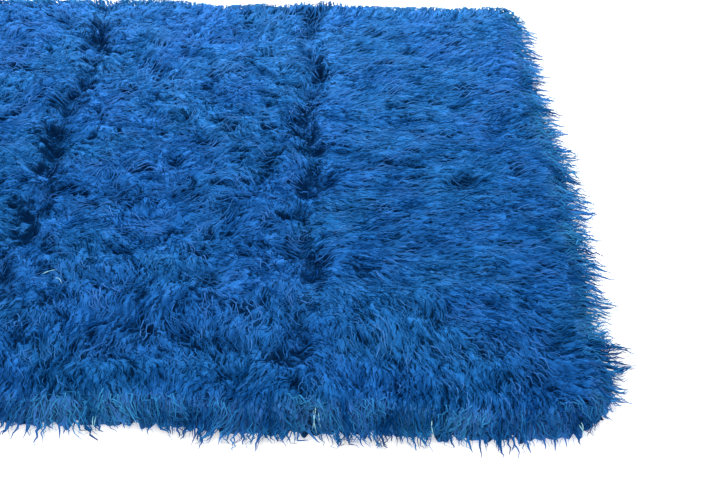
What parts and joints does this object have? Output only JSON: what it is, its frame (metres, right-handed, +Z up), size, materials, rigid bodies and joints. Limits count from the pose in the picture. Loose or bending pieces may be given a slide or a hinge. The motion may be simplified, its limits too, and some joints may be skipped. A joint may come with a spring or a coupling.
{
  "type": "long-pile wool shag rug",
  "caption": "Long-pile wool rug lying flat: a rounded rectangle whose combed pile is parted along old fold lines, with soft pointed locks lying out all round its rim.",
  "frame": {"origin": "on the floor, under the middle of the rug", "axes": "+X along the rug, +Y across it, +Z up out of the pile"},
  "size_m": [2.16, 1.4, 0.0551],
  "materials": {
    "wool_pile": "long shaggy wool pile in vivid cobalt blue, dark in the partings and lighter along the tips of the locks, with a soft dry sheen"
  },
  "bodies": {
    "root": {"shag_rug": "wool_pile"}
  },
  "joints": []
}
